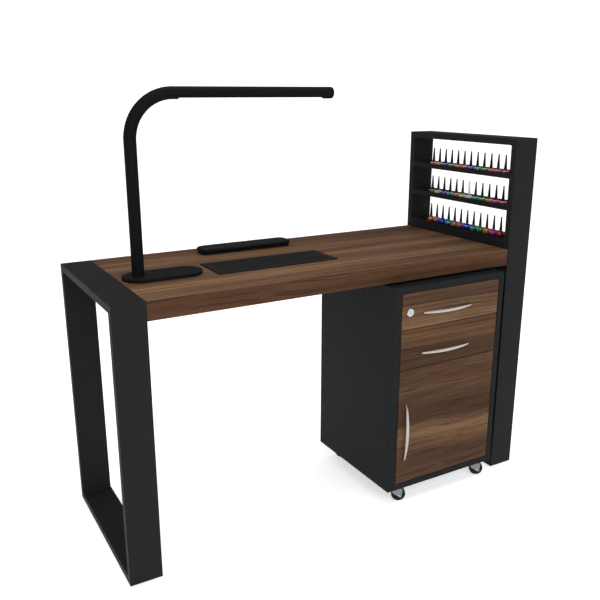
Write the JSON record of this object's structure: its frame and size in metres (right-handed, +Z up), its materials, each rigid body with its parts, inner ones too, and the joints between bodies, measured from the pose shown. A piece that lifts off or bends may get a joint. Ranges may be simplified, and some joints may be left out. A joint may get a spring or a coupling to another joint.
{
  "type": "manicure table",
  "caption": "Walnut-topped nail desk on black loop legs with a polish rack, bent-tube desk lamp, dust extractor, hand rest and a rolling pedestal of drawers and a cupboard.",
  "frame": {"origin": "on the floor, in the middle of the whole object's width and depth", "axes": "+Z up; -Y towards the technician, where the drawers open; +Y towards the client; -X the plain leg, +X the polish rack"},
  "size_m": [1.33, 0.551, 1.2337],
  "materials": {
    "walnut_top": "brown walnut laminate, satin",
    "walnut_front": "brown walnut laminate, satin",
    "black_steel": "black powder coat, fine texture",
    "black_sheet": "black powder coat, fine texture",
    "black_rubber": "matt",
    "zinc_steel": "bright zinc",
    "black_board": "black laminated board, satin",
    "drawer_board": "pale grey board, satin",
    "satin_nickel": "satin nickel",
    "chrome_plate": "polished",
    "lamp_black": "black, satin",
    "black_plastic": "matt",
    "frosted_cover": "frosted white",
    "led_board": "white board with chips",
    "black_leather": "soft black leatherette",
    "grille_black": "black powder coat",
    "filter_foam": "open black foam",
    "polish_glass": "clear glass filled with coloured polish",
    "cap_plastic": "black",
    "grey_steel": "light grey",
    "wheel_nylon": "black nylon"
  },
  "bodies": {
    "frame": {"left_leg_frame": "black_steel", "right_leg_frame": "black_steel", "tabletop": "walnut_top", "levelling_feet": "black_rubber", "top_brackets": "black_steel", "bracket_screws": "zinc_steel", "rack_base_tray": "black_sheet", "rack_lower_shelf": "black_sheet", "rack_upper_shelf": "black_sheet", "extractor_housing": "black_plastic", "extractor_power_socket": "black_plastic"},
    "extractor_cover": {"extractor_grille": "grille_black", "extractor_filter": "filter_foam"},
    "extractor_fan": {"extractor_fan": "black_plastic"},
    "extractor_switch": {"extractor_switch": "black_plastic"},
    "hand_rest": {"hand_rest_board": "black_board", "hand_rest_cushion": "black_leather"},
    "lamp_stand": {"lamp_base": "lamp_black", "lamp_base_pad": "black_rubber", "lamp_power_socket": "black_plastic"},
    "lamp_arm": {"lamp_tube": "lamp_black", "lamp_diffuser": "frosted_cover", "lamp_led_strip": "led_board", "lamp_end_cap": "lamp_black"},
    "lamp_button": {"lamp_button": "black_plastic"},
    "pedestal": {"pedestal_left_side": "black_board", "pedestal_right_side": "black_board", "pedestal_top": "black_board", "pedestal_bottom": "black_board", "pedestal_back": "black_board", "pedestal_boards": "black_board", "cabinet_rails": "zinc_steel", "caster_plates": "zinc_steel", "door_pivots": "zinc_steel"},
    "drawer_1": {"drawer_1_front": "walnut_front", "drawer_1_box": "drawer_board", "drawer_1_rails": "zinc_steel", "drawer_1_handle": "satin_nickel", "lock_barrel": "chrome_plate"},
    "drawer_2": {"drawer_2_front": "walnut_front", "drawer_2_box": "drawer_board", "drawer_2_rails": "zinc_steel", "drawer_2_handle": "satin_nickel"},
    "door": {"door_panel": "walnut_front", "door_handle": "satin_nickel"},
    "lock": {"lock_cam": "chrome_plate"},
    "base_row_bottles": {"bottles_base_row": "polish_glass", "caps_base_row": "cap_plastic"},
    "lower_row_bottles": {"bottles_lower_row": "polish_glass", "caps_lower_row": "cap_plastic"},
    "upper_row_bottles": {"bottles_upper_row": "polish_glass", "caps_upper_row": "cap_plastic"},
    "caster_front_left": {"caster_fork_front_left": "grey_steel"},
    "wheel_front_left": {"caster_wheel_front_left": "wheel_nylon"},
    "caster_front_right": {"caster_fork_front_right": "grey_steel"},
    "wheel_front_right": {"caster_wheel_front_right": "wheel_nylon"},
    "caster_rear_left": {"caster_fork_rear_left": "grey_steel"},
    "wheel_rear_left": {"caster_wheel_rear_left": "wheel_nylon"},
    "caster_rear_right": {"caster_fork_rear_right": "grey_steel"},
    "wheel_rear_right": {"caster_wheel_rear_right": "wheel_nylon"}
  },
  "joints": [
    {"name": "cover_lift", "type": "slide", "parent": "frame", "child": "extractor_cover", "axis": [0, 0, 1], "range_m": [0, 0.06]},
    {"name": "fan_spin", "type": "hinge", "parent": "frame", "child": "extractor_fan", "pos_m": [-0.1385, -0.008, 0.687], "axis": [0, 0, 1], "continuous": true},
    {"name": "fan_switch", "type": "hinge", "parent": "frame", "child": "extractor_switch", "pos_m": [-0.2665, -0.0655, 0.686], "axis": [-1, 0, 0], "range_deg": [0, 14]},
    {"name": "hand_rest_lift", "type": "slide", "parent": "frame", "child": "hand_rest", "axis": [0, 0, 1], "range_m": [0, 0.05]},
    {"name": "lamp_lift", "type": "slide", "parent": "frame", "child": "lamp_stand", "axis": [0, 0, 1], "range_m": [0, 0.05]},
    {"name": "lamp_swing", "type": "hinge", "parent": "lamp_stand", "child": "lamp_arm", "pos_m": [-0.5295, -0.0155, 0.775], "axis": [0, 0, 1], "range_deg": [-90, 90]},
    {"name": "lamp_button_press", "type": "slide", "parent": "lamp_arm", "child": "lamp_button", "axis": [-1, 0, 0], "range_m": [0, 0.0015], "stiffness_N_per_m": 400},
    {"name": "pedestal_roll", "type": "slide", "parent": "frame", "child": "pedestal", "axis": [0, -1, 0], "range_m": [0, 0.45]},
    {"name": "drawer_1_slide", "type": "slide", "parent": "pedestal", "child": "drawer_1", "axis": [0, -1, 0], "range_m": [0, 0.3]},
    {"name": "drawer_2_slide", "type": "slide", "parent": "pedestal", "child": "drawer_2", "axis": [0, -1, 0], "range_m": [0, 0.3]},
    {"name": "lock_turn", "type": "hinge", "parent": "drawer_1", "child": "lock", "pos_m": [0.1785, -0.2495, 0.616], "axis": [0, -1, 0], "range_deg": [0, 90]},
    {"name": "door_swing", "type": "hinge", "parent": "pedestal", "child": "door", "pos_m": [0.508, -0.2535, 0.2575], "axis": [0, 0, 1], "range_deg": [0, 110]},
    {"name": "base_row_lift", "type": "slide", "parent": "frame", "child": "base_row_bottles", "axis": [0, 0, 1], "range_m": [0, 0.02]},
    {"name": "lower_row_lift", "type": "slide", "parent": "frame", "child": "lower_row_bottles", "axis": [0, 0, 1], "range_m": [0, 0.02]},
    {"name": "upper_row_lift", "type": "slide", "parent": "frame", "child": "upper_row_bottles", "axis": [0, 0, 1], "range_m": [0, 0.02]},
    {"name": "swivel_front_left", "type": "hinge", "parent": "pedestal", "child": "caster_front_left", "pos_m": [0.173, -0.2245, 0.048], "axis": [0, 0, 1], "continuous": true},
    {"name": "spin_front_left", "type": "hinge", "parent": "caster_front_left", "child": "wheel_front_left", "pos_m": [0.18339, -0.2305, 0.022], "axis": [0.5, 0.866, 0], "continuous": true},
    {"name": "swivel_front_right", "type": "hinge", "parent": "pedestal", "child": "caster_front_right", "pos_m": [0.494, -0.2245, 0.048], "axis": [0, 0, 1], "continuous": true},
    {"name": "spin_front_right", "type": "hinge", "parent": "caster_front_right", "child": "wheel_front_right", "pos_m": [0.50439, -0.2305, 0.022], "axis": [0.5, 0.866, 0], "continuous": true},
    {"name": "swivel_rear_left", "type": "hinge", "parent": "pedestal", "child": "caster_rear_left", "pos_m": [0.173, 0.0965, 0.048], "axis": [0, 0, 1], "continuous": true},
    {"name": "spin_rear_left", "type": "hinge", "parent": "caster_rear_left", "child": "wheel_rear_left", "pos_m": [0.18339, 0.0905, 0.022], "axis": [0.5, 0.866, 0], "continuous": true},
    {"name": "swivel_rear_right", "type": "hinge", "parent": "pedestal", "child": "caster_rear_right", "pos_m": [0.494, 0.0965, 0.048], "axis": [0, 0, 1], "continuous": true},
    {"name": "spin_rear_right", "type": "hinge", "parent": "caster_rear_right", "child": "wheel_rear_right", "pos_m": [0.50439, 0.0905, 0.022], "axis": [0.5, 0.866, 0], "continuous": true}
  ]
}
